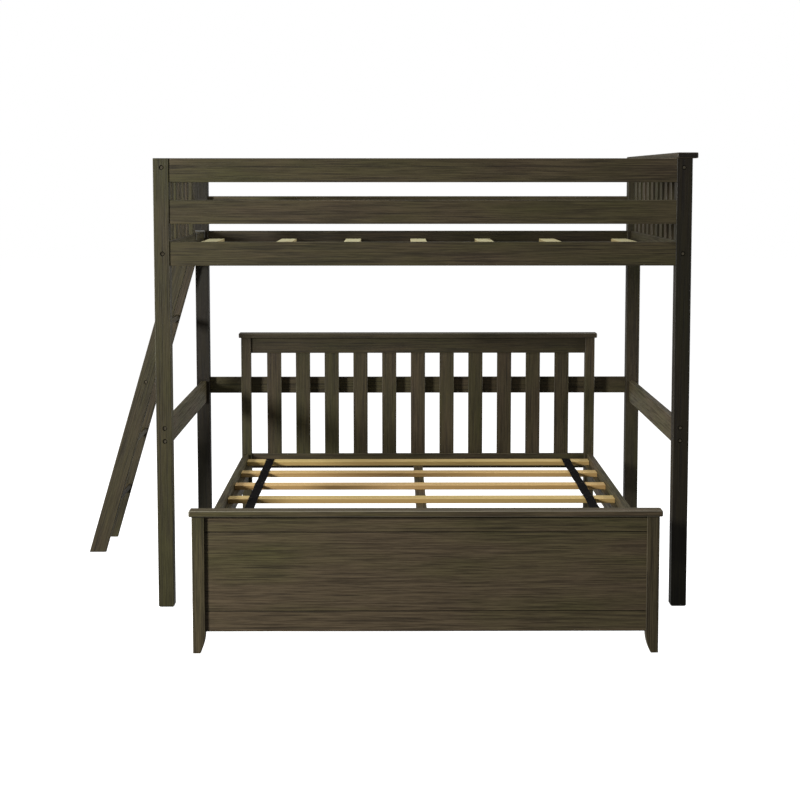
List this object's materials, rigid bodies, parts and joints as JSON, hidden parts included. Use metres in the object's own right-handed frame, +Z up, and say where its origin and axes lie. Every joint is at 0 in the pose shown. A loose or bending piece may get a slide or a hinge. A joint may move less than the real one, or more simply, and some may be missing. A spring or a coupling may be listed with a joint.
{
  "type": "bunk bed",
  "caption": "Slatted loft bed on square posts with guard rails and a leaning hook-on ladder, standing over a separate wide slatted bed set crosswise.",
  "frame": {"origin": "centre of the whole footprint, on the floor", "axes": "+X along the loft bed to the right, +Y to the back, +Z up; the lower bed's footboard faces -Y and the ladder is at -X"},
  "size_m": [2.5134, 2.191, 1.755],
  "materials": {
    "stained_pine": "dark grey-brown stain, satin, grain showing through",
    "bare_pine": "unfinished planed pine",
    "webbing": "black woven webbing",
    "black_bolts": "dark bronze zinc",
    "steel_hooks": "zinc plated"
  },
  "bodies": {
    "loft": {"end_cap_right": "stained_pine", "end_rail_left_bottom": "stained_pine", "end_rail_left_top": "stained_pine", "end_rail_right_bottom": "stained_pine", "end_rail_right_top": "stained_pine", "end_slats_left": "stained_pine", "end_slats_right": "stained_pine", "end_stretcher_left": "stained_pine", "end_stretcher_right": "stained_pine", "entry_stile": "stained_pine", "guard_rail_front_middle": "stained_pine", "guard_rail_front_top": "stained_pine", "guard_rail_rear_middle": "stained_pine", "guard_rail_rear_top": "stained_pine", "loft_bolts": "black_bolts", "loft_post_front_left": "stained_pine", "loft_post_front_right": "stained_pine", "loft_post_rear_left": "stained_pine", "loft_post_rear_right": "stained_pine", "loft_side_rail_front": "stained_pine", "loft_side_rail_rear": "stained_pine", "loft_slat_ledgers": "stained_pine", "loft_slats": "bare_pine", "rear_stretcher": "stained_pine"},
    "ladder": {"ladder_bolts": "black_bolts", "ladder_hooks": "steel_hooks", "ladder_stringer_front": "stained_pine", "ladder_stringer_rear": "stained_pine", "ladder_tread_1": "stained_pine", "ladder_tread_2": "stained_pine", "ladder_tread_3": "stained_pine", "ladder_tread_4": "stained_pine", "ladder_tread_5": "stained_pine"},
    "lower_bed": {"bed_hook_plates": "steel_hooks", "centre_beam": "stained_pine", "centre_leg": "stained_pine", "footboard_bottom_rail": "stained_pine", "footboard_cap": "stained_pine", "footboard_panel": "stained_pine", "footboard_post_left": "stained_pine", "footboard_post_right": "stained_pine", "footboard_top_rail": "stained_pine", "headboard_bottom_rail": "stained_pine", "headboard_cap": "stained_pine", "headboard_post_left": "stained_pine", "headboard_post_right": "stained_pine", "headboard_slats": "stained_pine", "headboard_top_rail": "stained_pine", "lower_side_rail_left": "stained_pine", "lower_side_rail_right": "stained_pine", "lower_slat_1": "bare_pine", "lower_slat_2": "bare_pine", "lower_slat_3": "bare_pine", "lower_slat_4": "bare_pine", "lower_slat_5": "bare_pine", "lower_slat_6": "bare_pine", "lower_slat_7": "bare_pine", "lower_slat_ledgers": "stained_pine", "slat_straps": "webbing"}
  },
  "joints": [
    {"name": "ladder_lift", "type": "slide", "parent": "loft", "child": "ladder", "axis": [0, 0, 1], "range_m": [0, 0.08]},
    {"name": "lower_bed_slide", "type": "slide", "parent": "loft", "child": "lower_bed", "axis": [0, -1, 0], "range_m": [0, 0.9]}
  ]
}
